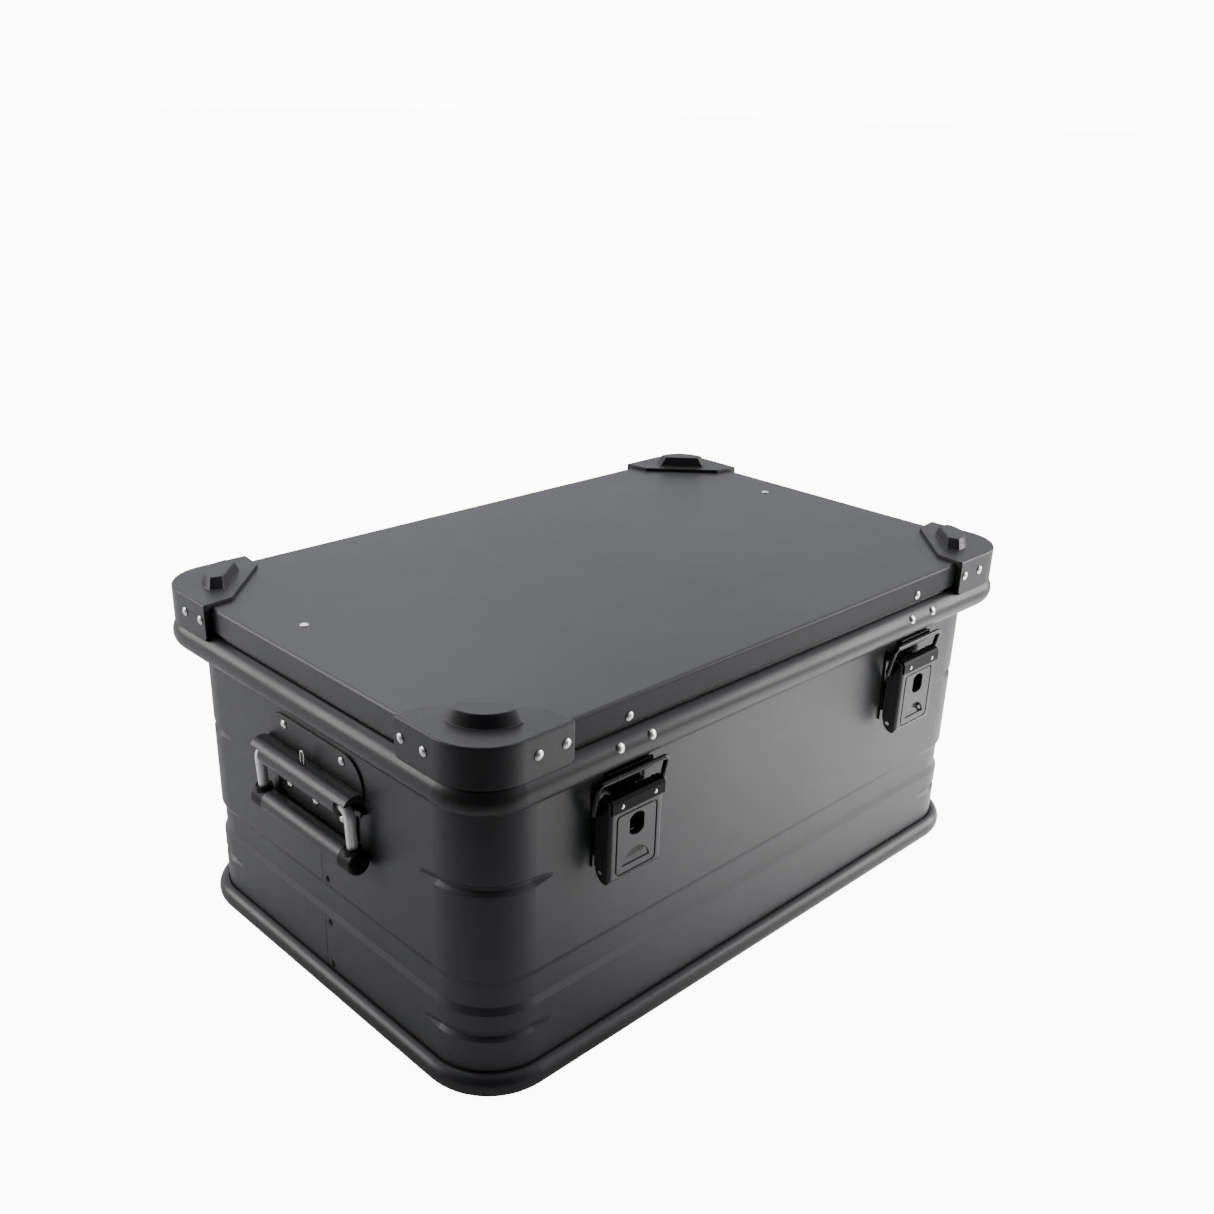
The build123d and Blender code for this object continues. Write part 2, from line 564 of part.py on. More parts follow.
def latch_bail(x):
    low_y, top_y = front(HOOK_OUT), front(BAR_OUT)
    start = (x - 22.6, low_y, HOOK_Z)
    path = FilletPolyline(
        [start, (x - BAIL_HALF, low_y, HOOK_Z), (x - BAIL_HALF, top_y, BAR_Z),
         (x + BAIL_HALF, top_y, BAR_Z), (x + BAIL_HALF, low_y, HOOK_Z),
         (x + 22.6, low_y, HOOK_Z)], radius=3.2)
    return sweep(Plane(origin=start, z_dir=LEFT) * Circle(BAIL_R), path=path)


latch_rivets = []
for tag, side in SIDES:
    centre_x = side * FITTING_X
    places = [(centre_x + offset, front(PLATE_T), z) for offset, z in LATCH_RIVETS]
    latch_rivets += [rivet(place, FRONT, PLATE_T + WALL_T, head_h=1.2, head_d=6.0)
                     for place in places]
    holes = [hole(place, FRONT, 4) for place in places]
    wall_holes += holes
    parts["latch_base_" + tag] = latch_base(centre_x, holes)
    parts["latch_pin_" + tag] = latch_pin(centre_x)
    parts["latch_bail_" + tag] = latch_bail(centre_x)

    # glossy strip over the head of the lever, riveted to it
    lever = latch_lever(centre_x)
    strip = wall_prism(-1, STRIP_OUTLINE, centre_x - LEVER_W / 2, centre_x + LEVER_W / 2)
    strip = strip - lever
    places = [(centre_x + offset, front(STRIP_OUT), 197.6) for offset in (-15, 15)]
    holes = [hole(place, FRONT, 5, diameter=1.6) for place in places]
    parts["latch_lever_" + tag] = cut_all(lever, holes)
    parts["latch_strip_" + tag] = cut_all(strip, holes)
    parts["latch_strip_rivets_" + tag] = group(
        [rivet(place, FRONT, 2.8, head_d=3.0, head_h=0.7, shank_d=1.6, tail_h=0)
         for place in places])
parts["latch_rivets"] = group(latch_rivets)

# ---------------------------------------------------------------- handles (left end)
AXIS_X = left(HANDLE_OUT)
GRIP_X = left(GRIP_OUT)
BEAD_HALF = 58                     # half length of the bead and the upper plate
LOWER_HALF = 49                    # half width of the lower plate
BEAD_OUTER, BEAD_INNER = 7.2, ROD_R + 0.08         # half heights of the rolled bead
# (y from the handle centre, z)
HANDLE_RIVETS = ((-35.3, 200.6), (35.3, 200.6), (-32.8, 155.2), (0.0, 155.2), (32.8, 155.2))
SPRING_GAPS = (-8.0, -6.5, -5.0, -3.5, -2.0, 2.0, 5.5, 7.0, 8.2)   # grooves between turns


def flat_sheet(z0, z1, half):
    outline = polygon([(left(0), z0), (left(0), z1), (left(PLATE_T), z1), (left(PLATE_T), z0)])
    return along_y(outline, HANDLE_Y - half, HANDLE_Y + half)


def bead_profile(root_x, shoulder_x, tip_x, half):
    """D-shaped outline: flat from the root to the shoulder, then round to the tip."""
    top, bottom = HANDLE_Z + half, HANDLE_Z - half
    return make_face(
        Polyline([(root_x, top), (shoulder_x, top)])
        + ThreePointArc((shoulder_x, top), (tip_x, HANDLE_Z), (shoulder_x, bottom))
        + Polyline([(shoulder_x, bottom), (root_x, bottom), (root_x, top)]))


def handle_plate(holes):
    upper = flat_sheet(HANDLE_Z + BEAD_INNER, 207.5, BEAD_HALF)
    mask = Pos(HANDLE_Y, 177.5) * RectangleRounded(2 * BEAD_HALF, 60, 20)
    upper = upper & along_x(mask, left(5), left(-3))
    lower = flat_sheet(146.5, HANDLE_Z - BEAD_INNER, LOWER_HALF)
    bead = along_y(bead_profile(left(0), left(PLATE_T), left(BEAD_OUT), BEAD_OUTER),
                   HANDLE_Y - BEAD_HALF, HANDLE_Y + BEAD_HALF) \
        - along_y(bead_profile(left(-1), AXIS_X, AXIS_X - BEAD_INNER, BEAD_INNER),
                  HANDLE_Y - BEAD_HALF - 2, HANDLE_Y + BEAD_HALF + 2)
    # the ends are cut away below and in front so that the bail legs can swing out
    for side in (-1, 1):
        y = HANDLE_Y + side * (LOWER_HALF - 2 + 10)
        bead = bead - Pos(AXIS_X, y, HANDLE_Z - 8 + 4.1) * Box(14.6, 20, 16)
    plate = upper + lower + bead
    spring_slot = Pos(AXIS_X + 2.7, HANDLE_Y + 2, HANDLE_Z + 7.2) * Box(3.0, 6.5, 9.0)
    return cut_all(plate - spring_slot, holes)


def handle_bail():
    """Rod with two inward stubs in the bead, two legs and a lower bar in the grip."""
    near, far = HANDLE_Y - HANDLE_LEG, HANDLE_Y + HANDLE_LEG
    start = (AXIS_X, HANDLE_Y - 22, HANDLE_Z)
    path = FilletPolyline(
        [start, (AXIS_X, near, HANDLE_Z), (GRIP_X, near, GRIP_Z), (GRIP_X, far, GRIP_Z),
         (AXIS_X, far, HANDLE_Z), (AXIS_X, HANDLE_Y + 22, HANDLE_Z)], radius=7.0)
    return sweep(Plane(origin=start, z_dir=FRONT) * Circle(ROD_R), path=path)


def handle_grip(bail):
    """Round grip with a collar up each leg of the bail."""
    grip = Pos(GRIP_X, HANDLE_Y, GRIP_Z) \
        * (Rot(90, 0, 0) * Cylinder(GRIP_R, 2 * (HANDLE_LEG + 8.0)))
    grip = fillet(grip.edges().filter_by(GeomType.CIRCLE), 3.0)
    leg = Vector(AXIS_X - GRIP_X, 0, HANDLE_Z - GRIP_Z).normalized()
    for side in (-1, 1):
        start = Vector(GRIP_X, HANDLE_Y + side * HANDLE_LEG, GRIP_Z)
        grip = grip + cylinder(start, start + leg * 10.5, 6.2)
    return grip - bail


def handle_spring():
    """Coil between the rod ends with a wire loop hooked out through the plate slot."""
    def bar(half, radius):
        return cylinder((AXIS_X, HANDLE_Y - half, HANDLE_Z),
                        (AXIS_X, HANDLE_Y + half, HANDLE_Z), radius)

    coil = bar(9, 3.3) - bar(10, 2.1)
    for y in SPRING_GAPS:
        coil = coil - (Pos(AXIS_X, HANDLE_Y + y, HANDLE_Z)
                       * (Rot(90, 0, 0) * (Cylinder(3.8, 0.5) - Cylinder(2.9, 0.5))))
    x, z = AXIS_X + 2.7, HANDLE_Z
    loop = Pos(x, HANDLE_Y, z + 9.6) * Box(1.1, 1.2, 18.8)
    loop = loop + Pos(x, HANDLE_Y + 4.2, z + 9.6) * Box(1.1, 1.2, 18.8)
    loop = loop + Pos(x, HANDLE_Y + 2.1, z + 18.4) * Box(1.1, 5.4, 1.2)
    return coil + loop


places = [(left(PLATE_T), HANDLE_Y + y, z) for y, z in HANDLE_RIVETS]
handle_holes = [hole(place, LEFT, 4) for place in places]
for cutter in handle_holes:
    wall_holes += [cutter, mirror_x(cutter)]
bail = handle_bail()
for name, shape in (("plate", handle_plate(handle_holes)), ("bail", bail),
                    ("grip", handle_grip(bail)), ("spring", handle_spring())):
    parts[f"handle_{name}_left"] = shape
    parts[f"handle_{name}_right"] = mirror_x(shape)
handle_rivets = [rivet(place, LEFT, PLATE_T + WALL_T, tail_h=1.0) for place in places]
parts["handle_rivets_left"] = group(handle_rivets)
parts["handle_rivets_right"] = group([mirror_x(shape) for shape in handle_rivets])

# ---------------------------------------------------------------- seam and wall sheet
places = [(-HX, -5.5, z) for z in (21.5, 57.5, 94.0)]
parts["seam_rivets"] = group([rivet(place, LEFT, WALL_T, head_d=5.4, head_h=1.2, tail_h=0)
                              for place in places])
wall_holes += [hole(place, LEFT, 4) for place in places]
parts["wall_sheet"] = wall_sheet()

# ---------------------------------------------------------------- export
os.makedirs("parts", exist_ok=True)
for name, shape in parts.items():
    export_step(shape, os.path.join("parts", name + ".step"))
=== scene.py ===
"""Lidded metal case with side handles, latches and lid straps, standing on a pale floor.

The case is centred near the origin with +Z up. The handles lie at -X (left) and +X (right), and
the camera looks from -X, -Y and above. The CAD pieces get materials; the handle springs and the
lid straps are replaced by detailed meshes. Names ending in _MM are millimetres, the rest metres.
"""
import json
import math

import bpy
from mathutils import Matrix, Vector


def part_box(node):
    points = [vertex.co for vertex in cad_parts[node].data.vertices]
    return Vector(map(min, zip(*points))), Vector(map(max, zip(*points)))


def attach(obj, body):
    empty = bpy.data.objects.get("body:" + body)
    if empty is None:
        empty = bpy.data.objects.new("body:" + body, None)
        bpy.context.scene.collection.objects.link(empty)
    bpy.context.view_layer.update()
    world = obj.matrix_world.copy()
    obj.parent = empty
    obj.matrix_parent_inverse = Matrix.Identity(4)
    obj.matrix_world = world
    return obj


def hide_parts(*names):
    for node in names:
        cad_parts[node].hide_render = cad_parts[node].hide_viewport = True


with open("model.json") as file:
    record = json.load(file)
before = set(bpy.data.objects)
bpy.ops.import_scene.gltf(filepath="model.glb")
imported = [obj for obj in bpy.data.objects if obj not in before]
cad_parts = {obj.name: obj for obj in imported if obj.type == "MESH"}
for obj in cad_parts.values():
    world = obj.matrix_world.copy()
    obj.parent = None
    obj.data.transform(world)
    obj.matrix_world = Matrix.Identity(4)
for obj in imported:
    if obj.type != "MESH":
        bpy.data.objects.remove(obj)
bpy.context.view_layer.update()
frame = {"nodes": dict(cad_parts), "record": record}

MM = 0.001

# ---------------------------------------------------------------- dimensions
# handle spring: a closed coil along Y, and a hairpin standing on its inner side
SPRING_X_MM, SPRING_Z_MM = 287.0, 177.0
COIL_TURNS, COIL_STEPS_PER_TURN = 12.5, 18
COIL_HALF_LENGTH = 8.2 * MM
COIL_RADIUS = 2.75 * MM
COIL_WIRE_RADIUS = 0.55 * MM
HAIRPIN_INSET_MM = 2.7
HAIRPIN_FOOT_MM, HAIRPIN_TOP_MM = 0.6, 18.7  # heights above the coil axis
HAIRPIN_GAP = 4.2 * MM
HAIRPIN_WIRE_RADIUS = 0.65 * MM
HAIRPIN_STEPS = 12
SPRING_SIDES = 10

# straps: eye centres in the YZ plane; both straps of a side share their far end
LOWER_START = Vector((0, 5.0 * MM, 232.0 * MM))
UPPER_START = Vector((0, 44.0 * MM, 250.0 * MM))
SHARED_END = Vector((0, 77.995 * MM, 125.095 * MM))
STRAP_HALF_WIDTH = 17 * MM / 2
STRAP_WAVE = 0.10 * MM
HEM_LENGTH = 26 * MM
STRAP_STEPS, STRAP_CROSS_STEPS = 110, 12

# stitching: a box of short bars near each eye, placed by distance from the eye centre
STITCH_LENGTH = 1.9 * MM
STITCH_PITCH_MM = 2.8
THREAD_RADIUS = 0.22 * MM
THREAD_SINK = 0.01 * MM
THREAD_SIDES = 6
LONG_ROWS_MM = (-5.2, 5.2)
LONG_ROW_START_MM, LONG_ROW_COUNT = 11.0, 5
CROSS_ROWS_MM = (10.0, 24.4)
CROSS_ROW_START_MM, CROSS_ROW_COUNT = -4.2, 4


# ---------------------------------------------------------------- shader building
def scaled(colour, factor):
    return tuple(channel * factor for channel in colour)


class Nodes:
    """Short calls that add nodes to one tree and return their output sockets."""

    def __init__(self, tree, coordinates):
        self.tree = tree
        self.coords = self.add("TexCoord").outputs[coordinates]

    def feed(self, node, inputs):
        """Link sockets and set plain values on the named inputs."""
        for key, value in inputs.items():
            socket = node.inputs[key]
            if isinstance(value, bpy.types.NodeSocket):
                self.tree.links.new(value, socket)
            elif socket.type == "RGBA":
                socket.default_value = (*value, 1.0)
            else:
                socket.default_value = value

    def add(self, kind, inputs=None, **properties):
        node = self.tree.nodes.new("ShaderNode" + kind)
        for name, value in properties.items():
            setattr(node, name, value)
        self.feed(node, inputs or {})
        return node

    def stretched(self, scale):
        node = self.add("Mapping", {"Vector": self.coords, "Scale": scale})
        return node.outputs["Vector"]

    def noise(self, scale, detail, rough=0.55, vector=None):
        inputs = {"Scale": scale, "Detail": detail, "Roughness": rough,
                  "Vector": vector or self.coords}
        return self.add("TexNoise", inputs).outputs["Fac"]

    def remap(self, value, span, to=(0, 1), interpolation="LINEAR"):
        """Map the span onto the range `to`, clamped at both ends."""
        inputs = {"Value": value, "From Min": span[0], "From Max": span[1],
                  "To Min": to[0], "To Max": to[1]}
        node = self.add("MapRange", inputs, clamp=True, interpolation_type=interpolation)
        return node.outputs["Result"]

    def math(self, operation, *values, clamp=False):
        node = self.add("Math", dict(enumerate(values)), operation=operation, use_clamp=clamp)
        return node.outputs[0]

    def vector_math(self, operation, first, second):
        node = self.add("VectorMath", {0: first, 1: second}, operation=operation)
        return node.outputs["Value"]

    def split(self, vector):
        return self.add("SeparateXYZ", {0: vector}).outputs

    def mix(self, factor, first, second):
        # inputs 6 and 7 and output 2 are the colour sockets of the Mix node
        return self.add("Mix", {0: factor, 6: first, 7: second}, data_type="RGBA").outputs[2]

    def rounded_normal(self, radius):
        return self.add("Bevel", {"Radius": radius}, samples=4).outputs[0]

    def edge_mask(self, rounded, span):
        """1 on convex and concave edges, 0 on open surface."""
        normal = self.add("NewGeometry").outputs["Normal"]
        likeness = self.vector_math("DOT_PRODUCT", rounded, normal)
        return self.remap(self.math("SUBTRACT", 1.0, likeness), span)

    def bump(self, height, strength, distance, normal=None):
        inputs = {"Strength": strength, "Distance": distance, "Height": height}
        if normal is not None:
            inputs["Normal"] = normal
        return self.add("Bump", inputs).outputs[0]

    def add_painted_crevice_shade(self, colour, distance, span, amount, dark):
        # painted shade: colour mixed towards a dark tone where ambient occlusion finds surfaces
        # close by
        openness = self.add("AmbientOcclusion", {"Distance": distance}, samples=4).outputs["AO"]
        return self.mix(self.remap(openness, span, to=(amount, 0.0)), colour, dark)


class Surface(Nodes):
    """A new material whose inputs are fed from small layers in object coordinates."""

    def __init__(self, name):
        self.material = bpy.data.materials.new(name)
        self.material.use_nodes = True
        super().__init__(self.material.node_tree, "Object")
        self.principled = self.tree.nodes["Principled BSDF"]

    def shade(self, inputs):
        self.feed(self.principled, inputs)


# ---------------------------------------------------------------- material kinds
def paint(name, base, rough, grain, wear, grain_scale=1400, wear_colour=(0.20, 0.20, 0.205),
          bevel_mm=0.7, crevice_shade_strength=0.6, spec=0.5, coat=0.0, coat_rough=0.15, variation=0.10,
          rough_variation=0.05, scratch=0.0, waviness=0.10):
    """Painted metal: two tones, cloudy sheen, fine coat texture, rubbed edges, painted shade in
    crevices.
    """
    k = Surface(name)
    cloud = k.noise(scale=5.0, detail=5.0, rough=0.6)
    fine = k.noise(scale=60.0, detail=4.0, rough=0.6)
    grit = k.noise(scale=grain_scale, detail=2.0, rough=0.6)
    rounded = k.rounded_normal(bevel_mm * MM)
    edges = k.edge_mask(rounded, span=(0.02, 0.22))

    colour = k.mix(k.remap(cloud, span=(0.35, 0.65)),
                   scaled(base, 1 - variation), scaled(base, 1 + variation))
    colour = k.mix(k.remap(fine, span=(0.45, 0.75), to=(0.0, 0.25)), colour, scaled(base, 1.35))
    colour = k.mix(k.remap(grit, span=(0.6, 0.8), to=(0.0, 0.35)), colour, scaled(base, 0.7))

    # rubbed edges, broken up so that they are not one even line
    patches = k.remap(k.noise(scale=38.0, detail=6.0, rough=0.7),
                      span=(0.42, 0.66), to=(0.15, 1.0))
    rubbed = k.math("MULTIPLY", k.math("MULTIPLY", edges, patches), wear, clamp=True)
    colour = k.mix(rubbed, colour, wear_colour)

    if scratch:
        # noise stretched along X, then along Y, leaves thin lines at its peaks
        streaks = [k.remap(k.noise(scale=1.0, detail=2.0, rough=0.5, vector=k.stretched(scale)),
                           span=(0.70, 0.74))
                   for scale in ((26, 900, 900), (700, 22, 700))]
        lines = k.math("MAXIMUM", *streaks)
        colour = k.mix(k.math("MULTIPLY", lines, scratch), colour, wear_colour)
    # painted shade in crevices, around rivets and under profiles
    colour = k.add_painted_crevice_shade(colour, distance=3.0 * MM, span=(0.35, 0.95), amount=crevice_shade_strength,
                               dark=scaled(base, 0.12))

    sheen = k.remap(k.noise(scale=13.0, detail=6.0, rough=0.65), span=(0.3, 0.7),
                    to=(rough - rough_variation, rough + rough_variation))
    gritty = k.remap(grit, span=(0.4, 0.7), to=(-0.03, 0.04))
    normal = k.bump(grit, strength=grain, distance=0.12 * MM, normal=rounded)
    normal = k.bump(k.noise(scale=22.0, detail=3.0, rough=0.5), strength=waviness,
                    distance=0.5 * MM, normal=normal)
    k.shade({"Base Color": colour, "Roughness": k.math("ADD", sheen, gritty),
             "Specular IOR Level": spec, "Coat Weight": coat, "Coat Roughness": coat_rough,
             "Normal": normal})
    return k


def metal(name, base, rough, brushed=(500, 500, 500), bevel_mm=0.35, tarnish=0.35, crevice_shade_strength=0.7,
          metallic=1.0):
    """Bare metal: turned or drawn grain, dull patches, painted shade at the roots."""
    k = Surface(name)
    grain = k.noise(scale=1.0, detail=3.0, rough=0.6, vector=k.stretched(brushed))
    dull = k.remap(k.noise(scale=120.0, detail=5.0, rough=0.65),
                   span=(0.4, 0.7), to=(0.0, tarnish))
    colour = k.mix(dull, base, scaled(base, 0.62))
    colour = k.mix(k.remap(grain, span=(0.5, 0.8), to=(0.0, 0.3)), colour, scaled(base, 0.75))
    # painted shade at the roots of rods and rivets, from ambient occlusion
    colour = k.add_painted_crevice_shade(colour, distance=1.6 * MM, span=(0.3, 0.9), amount=crevice_shade_strength,
                               dark=(0.05, 0.05, 0.05))
    drawn = k.remap(grain, span=(0.3, 0.7), to=(rough - 0.06, rough + 0.08))
    roughness = k.math("ADD", drawn, k.math("MULTIPLY", dull, 0.35))
    normal = k.bump(grain, strength=0.12, distance=0.06 * MM,
                    normal=k.rounded_normal(bevel_mm * MM))
    k.shade({"Base Color": colour, "Metallic": metallic, "Roughness": roughness,
             "Normal": normal})
    return k


# painted shade for the rubber parts: near-black colour where ambient occlusion finds crevices
RUBBER_PAINTED_SHADE = dict(distance=3 * MM, span=(0.4, 0.95), amount=0.5, dark=(0.002, 0.002, 0.002))


def rubber(name, base, rough, grain=0.35):
    """Dark rubber: cloudy tone, paler edges, fine grain."""
    k = Surface(name)
    fine = k.noise(scale=1600, detail=3.0, rough=0.6)
    cloud = k.noise(scale=30.0, detail=5.0, rough=0.6)
    rounded = k.rounded_normal(0.8 * MM)
    edges = k.edge_mask(rounded, span=(0.02, 0.25))
    colour = k.mix(k.remap(cloud, span=(0.35, 0.7)), scaled(base, 0.75), scaled(base, 1.3))
    colour = k.mix(k.math("MULTIPLY", edges, 0.35), colour, scaled(base, 2.6))
    # painted shade in crevices
    colour = k.add_painted_crevice_shade(colour, **RUBBER_PAINTED_SHADE)
    k.shade({"Base Color": colour,
             "Roughness": k.remap(cloud, span=(0.3, 0.7), to=(rough - 0.07, rough + 0.08)),
             "Normal": k.bump(fine, strength=grain, distance=0.12 * MM, normal=rounded)})
    return k


def webbing(name, base, thread_period):
    """Plain weave from the strap's own UV map: u runs along the strap, v across it."""
    k = Surface(name)
    uv = k.split(k.add("UVMap", uv_map="strap").outputs["UV"])
    along, across = uv["X"], uv["Y"]

    def wave(coordinate, rate):
        return k.math("SINE", k.math("MULTIPLY", coordinate, rate))

    rate = 2 * math.pi / thread_period
    weave = k.math("MULTIPLY", wave(along, rate), wave(across, rate))
    ribs = k.math("ABSOLUTE", wave(across, math.pi / (thread_period / 2)))
    threads = k.math("ADD", k.math("MULTIPLY", weave, 0.5), k.math("MULTIPLY", ribs, 0.5))
    fuzz = k.noise(scale=2600.0, detail=3.0, rough=0.7)
    height = k.math("ADD", threads, k.math("MULTIPLY", fuzz, 0.35))

    # colour follows thread height: darker hollows between threads are painted shade, the fuzz
    # noise adds random tone
    colour = k.mix(k.remap(height, span=(-0.2, 1.1)), scaled(base, 0.45), scaled(base, 1.7))
    faded = k.remap(k.noise(scale=45.0, detail=5.0, rough=0.6), span=(0.4, 0.7), to=(0.0, 0.3))
    k.shade({"Base Color": k.mix(faded, colour, scaled(base, 2.1)),
             "Roughness": k.remap(fuzz, span=(0.3, 0.7), to=(0.78, 0.95)),
             "Sheen Weight": 0.25, "Sheen Roughness": 0.4,
             "Normal": k.bump(height, strength=0.8, distance=0.35 * MM)})
    return k


def lid_paint(name, **look):
    """Sheet paint with less sheen on the faces that look towards -Y."""
    k = paint(name, **look)
    normal = k.split(k.add("NewGeometry").outputs["Normal"])
    k.shade({"Specular IOR Level": k.remap(normal["Y"], span=(-0.95, -0.45), to=(0.12, 0.55))})
    return k


def grip_tube(name, collar_start, collar_end):
    """Grip tube along Y with darker end collars beyond the given distance from its middle."""
    k = Surface(name)
    distance = k.math("ABSOLUTE", k.split(k.coords)["Y"])
    collar = k.remap(distance, span=(collar_start, collar_end))
    rounded = k.rounded_normal(0.9 * MM)
    edges = k.edge_mask(rounded, span=(0.02, 0.25))
    cloud = k.noise(scale=30.0, detail=5.0, rough=0.6)

    colour = k.mix(k.remap(cloud, span=(0.35, 0.7)), (0.024, 0.024, 0.025), (0.036, 0.036, 0.038))
    colour = k.mix(k.math("MULTIPLY", edges, 0.3), colour, (0.12, 0.12, 0.12))
    colour = k.mix(collar, colour, (0.006, 0.006, 0.0065))
    # painted shade in crevices
    colour = k.add_painted_crevice_shade(colour, **RUBBER_PAINTED_SHADE)
    roughness = k.math("ADD", k.remap(cloud, span=(0.3, 0.7), to=(0.34, 0.46)),
                       k.math("MULTIPLY", collar, 0.08))

    # peaks halfway through the step from tube to collar
    centred = k.math("SUBTRACT", k.math("MULTIPLY", collar, 2.0), 1.0)
    lip = k.math("SUBTRACT", 1.0, k.math("ABSOLUTE", centred))
    normal = k.bump(lip, strength=-0.6, distance=0.5 * MM, normal=rounded)
    normal = k.bump(k.noise(scale=1500.0, detail=3.0, rough=0.6), strength=0.2,
                    distance=0.1 * MM, normal=normal)
    k.shade({"Base Color": colour, "Roughness": roughness,
             "Specular IOR Level": k.remap(collar, span=(0.0, 1.0), to=(0.5, 0.2)),
             "Normal": normal})
    return k


# ---------------------------------------------------------------- materials of the case
SHEET = dict(base=(0.036, 0.036, 0.0385), rough=0.40, grain=0.20, scratch=0.05, spec=0.55,
             variation=0.05, rough_variation=0.025, waviness=0.05)
PALE_STEEL = (1.0, 1.0, 0.98)
LOOKS = {  # material name: (kind, settings)
    "sheet": (paint, dict(SHEET, wear=0.30)),
    "profile": (paint, dict(base=(0.022, 0.022, 0.0235), rough=0.36, grain=0.16, wear=0.45,
                            spec=0.44)),
    "cast_corner": (paint, dict(base=(0.026, 0.026, 0.028), rough=0.40, grain=0.40,
                                grain_scale=900, wear=0.45, bevel_mm=1.1)),
    "handle_plate": (paint, dict(base=(0.030, 0.030, 0.032), rough=0.36, grain=0.18, wear=0.35)),
    "lever_paint": (paint, dict(base=(0.045, 0.045, 0.048), rough=0.36, grain=0.14, wear=0.35,
                                crevice_shade_strength=0.9, scratch=0.05)),
    "black_hardware": (paint, dict(base=(0.006, 0.006, 0.0065), rough=0.20, grain=0.04,
                                   wear=0.08, crevice_shade_strength=0.4, spec=0.30, coat=0.12, coat_rough=0.08,
                                   rough_variation=0.04)),
    "bright_rivet": (metal, dict(base=(0.86, 0.86, 0.85), rough=0.24, tarnish=0.25)),
    "bare_rod": (metal, dict(base=PALE_STEEL, rough=0.36, brushed=(900, 900, 120), tarnish=0.06,
                             crevice_shade_strength=0.2, metallic=0.25)),
    "spring_wire": (metal, dict(base=PALE_STEEL, rough=0.36, brushed=(900, 900, 900),
                                bevel_mm=0.15, crevice_shade_strength=0.1, tarnish=0.0, metallic=0.2)),
    "grip": (rubber, dict(base=(0.020, 0.020, 0.021), rough=0.42)),
    "seal": (rubber, dict(base=(0.016, 0.016, 0.016), rough=0.75, grain=0.6)),
    "webbing": (webbing, dict(base=(0.030, 0.030, 0.033), thread_period=1.7 * MM)),
    "strip_black": (paint, dict(base=(0.0025, 0.0025, 0.003), rough=0.30, grain=0.10, wear=0.35,
                                wear_colour=(0.07, 0.07, 0.07), crevice_shade_strength=0.5, spec=0.07)),
    "lid_sheet": (lid_paint, dict(SHEET, wear=0.45)),
    "grip_tube": (grip_tube, dict(collar_start=0.0478, collar_end=0.0484)),
}
# pieces that take another material than their recorded slot
OWN_LOOKS = {
    "latch_strip_left": "strip_black", "latch_strip_right": "strip_black",
    "lid_panel": "lid_sheet",
    "handle_grip_left": "grip_tube", "handle_grip_right": "grip_tube",
}

materials = {name: kind(name, **look).material for name, (kind, look) in LOOKS.items()}
slots = {part["node"]: part["material_slot"] for part in frame["record"]["subparts"]}
for name, piece in frame["nodes"].items():
    look_name = OWN_LOOKS[name] if name in OWN_LOOKS else slots[name]
    piece.data.materials.clear()
    piece.data.materials.append(materials[look_name])


# ---------------------------------------------------------------- mesh building
def mesh_object(name, verts, faces, material, uv=None, smooth=True):
    mesh = bpy.data.meshes.new(name)
    mesh.from_pydata([tuple(v) for v in verts], [], faces)
    if uv is not None:
        layer = mesh.uv_layers.new(name="strap")
        for poly in mesh.polygons:
            for loop, vertex in zip(poly.loop_indices, poly.vertices):
                layer.data[loop].uv = uv[vertex]
    for poly in mesh.polygons:
        poly.use_smooth = smooth
    mesh.materials.append(material)
    mesh.update()
    obj = bpy.data.objects.new(name, mesh)
    bpy.context.scene.collection.objects.link(obj)
    return obj


def tube(path, radius, sides):
    """Verts and faces of a closed tube along a polyline, with flat ends."""
    points = [Vector(p) for p in path]
    last = len(points) - 1
    verts, faces = [], []
    start = (points[1] - points[0]).normalized()
    reference = Vector((0, 0, 1)) if abs(start.z) < 0.9 else Vector((1, 0, 0))
    normal = start.cross(reference).normalized()
    for i, point in enumerate(points):
        tangent = (points[min(i + 1, last)] - points[max(i - 1, 0)]).normalized()
        normal = (normal - tangent * normal.dot(tangent)).normalized()
        binormal = tangent.cross(normal)
        for j in range(sides):
            angle = 2 * math.pi * j / sides
            verts.append(point + (normal * math.cos(angle) + binormal * math.sin(angle)) * radius)
    for i in range(last):
        for j in range(sides):
            a, b = i * sides + j, i * sides + (j + 1) % sides
            faces.append((a, b, b + sides, a + sides))
    faces.append(tuple(range(sides))[::-1])
    faces.append(tuple(range(last * sides, len(points) * sides)))
    return verts, faces


def joined(parts):
    """Merge (verts, faces) pairs into one pair."""
    verts, faces = [], []
    for part_verts, part_faces in parts:
        offset = len(verts)
        verts.extend(part_verts)
        faces.extend(tuple(i + offset for i in face) for face in part_faces)
    return verts, faces


# ---------------------------------------------------------------- handle springs
def coil_path(axis_x, axis_z, outward):
    steps = int(COIL_TURNS * COIL_STEPS_PER_TURN)
    path = []
    for i in range(steps + 1):
        angle = 2 * math.pi * i / COIL_STEPS_PER_TURN
        path.append((axis_x + outward * COIL_RADIUS * math.cos(angle),
                     -outward * (-COIL_HALF_LENGTH + 2 * COIL_HALF_LENGTH * i / steps),
                     axis_z + COIL_RADIUS * math.sin(angle)))
    return path


def hairpin_path(x, axis_z):
    """Up from the coil, over a half circle towards +Y, and down again."""
    bend = HAIRPIN_GAP / 2
    foot = axis_z + HAIRPIN_FOOT_MM * MM
    bend_z = axis_z + HAIRPIN_TOP_MM * MM - bend
    path = [(x, 0.0, foot), (x, 0.0, bend_z)]
    for i in range(HAIRPIN_STEPS + 1):
        angle = math.pi * i / HAIRPIN_STEPS
        path.append((x, bend - bend * math.cos(angle), bend_z + bend * math.sin(angle)))
    path.append((x, HAIRPIN_GAP, foot))
    return path


